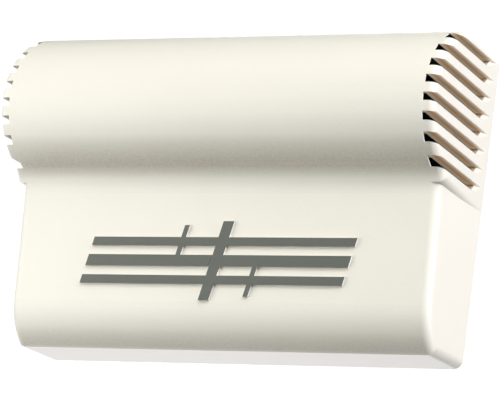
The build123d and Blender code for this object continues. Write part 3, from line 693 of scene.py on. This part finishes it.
def pale_paper(tree, place):
    fibre = add_node(tree, "ShaderNodeTexNoise", {
        "Vector": place, "Scale": 1 / (120 * MM), "Detail": 2.0,
    })
    shade = add_node(tree, "ShaderNodeValToRGB", {"Fac": fibre.outputs["Fac"]})
    shade.color_ramp.elements[0].color = linear("#ECEAE5")
    shade.color_ramp.elements[1].color = linear("#F2F1ED")
    return add_node(tree, "ShaderNodeBsdfPrincipled", {
        "Base Color": shade.outputs["Color"], "Roughness": 0.9,
    })


floor_mesh.materials.append(finished("pale_paper", pale_paper))

# The camera sees the surround as plain white, but its light on the box is weak, and a little
# brighter from above than from below.
world = bpy.data.worlds.new("white_surround")
bpy.context.scene.world = world
world.use_nodes = True
sky = world.node_tree
sky.nodes.clear()
sky_way = add_node(sky, "ShaderNodeTexCoord").outputs["Generated"]
sky_height = add_node(sky, "ShaderNodeSeparateXYZ", {"Vector": sky_way})
room_light = add_node(sky, "ShaderNodeMapRange", {
    "Value": sky_height.outputs["Z"],
    "From Min": -0.3, "From Max": 0.5, "To Min": 0.02, "To Max": 0.06,
})
seen = add_node(sky, "ShaderNodeLightPath")
surround = add_node(sky, "ShaderNodeMix", {
    "Factor": seen.outputs["Is Camera Ray"], "A": room_light.outputs["Result"], "B": 1.1,
}, data_type="FLOAT")
backdrop = add_node(sky, "ShaderNodeBackground", {
    "Color": (1, 1, 1, 1), "Strength": surround.outputs["Result"],
})
add_node(sky, "ShaderNodeOutputWorld", {"Surface": backdrop.outputs["Background"]})

white = "#FFFFFF"
soft_white = "#FAFBFF"
cool_white = "#F4F4FF"
box_middle = (0, -0.03, 0)


def softbox(name, place, width, height, watts, colour, aim=box_middle):
    """A rectangular area light at a place, turned to face its aim."""
    light = bpy.data.lights.new(name, "AREA")
    light.shape = "RECTANGLE"
    light.size = width
    light.size_y = height
    light.energy = watts
    light.color = linear(colour)[:3]
    lamp = bpy.data.objects.new(name, light)
    lamp.location = place
    lamp.rotation_euler = (Vector(aim) - Vector(place)).to_track_quat("-Z", "Y").to_euler()
    bpy.context.scene.collection.objects.link(lamp)


softbox("top_softbox", (0.1, -0.7, 0.9), 0.8, 0.6, 4.3, soft_white)
softbox("front_softbox", (-0.6, -1.1, 0.0), 0.8, 0.6, 4.0, soft_white)
softbox("key_softbox", (0.6, -0.85, 0.6), 0.6, 0.6, 8.0, soft_white)
softbox("right_softbox", (1.0, -0.05, 0.25), 0.6, 0.6, 9.8, cool_white)
softbox("low_right_card", (0.8, 0.2, -0.45), 0.4, 0.4, 1.4, cool_white)
softbox("left_softbox", (-0.5, -0.25, 0.1), 0.2, 0.2, 0.55, soft_white)
softbox("low_left_card", (-0.45, -0.35, -0.2), 0.3, 0.3, 1.6, soft_white)
softbox("under_card", (-0.3, 0.5, -0.6), 0.5, 0.4, 5.7, cool_white)
softbox("back_fill", (-0.4, 1.2, 0.5), 0.8, 0.6, 8.0, white, aim=(0, 0, 0))

# The plain display curve keeps the surround white, as in the photograph.
bpy.context.scene.view_settings.view_transform = "Standard"

# Camera
# At the photograph's viewing angle, from the right and below, with its slight roll. The
# angles and the focal length come from a fit to the photograph's own edges.
camera_place = (0.85303, -1.40950, -0.37037)
camera_yaw, camera_pitch, camera_roll = radians(31.48), radians(12.81), radians(7.75)
camera_data = bpy.data.cameras.new("photo_camera")
camera_data.sensor_width = 36.0
camera_data.lens = 304.56
camera_data.clip_start = 0.05
camera_data.clip_end = 20.0
camera = bpy.data.objects.new("photo_camera", camera_data)
camera.matrix_world = (
    Matrix.Translation(camera_place)
    @ Matrix.Rotation(camera_yaw, 4, "Z")
    @ Matrix.Rotation(pi / 2 + camera_pitch, 4, "X")
    @ Matrix.Rotation(camera_roll, 4, "Z")
)
bpy.context.scene.collection.objects.link(camera)
bpy.context.scene.camera = camera
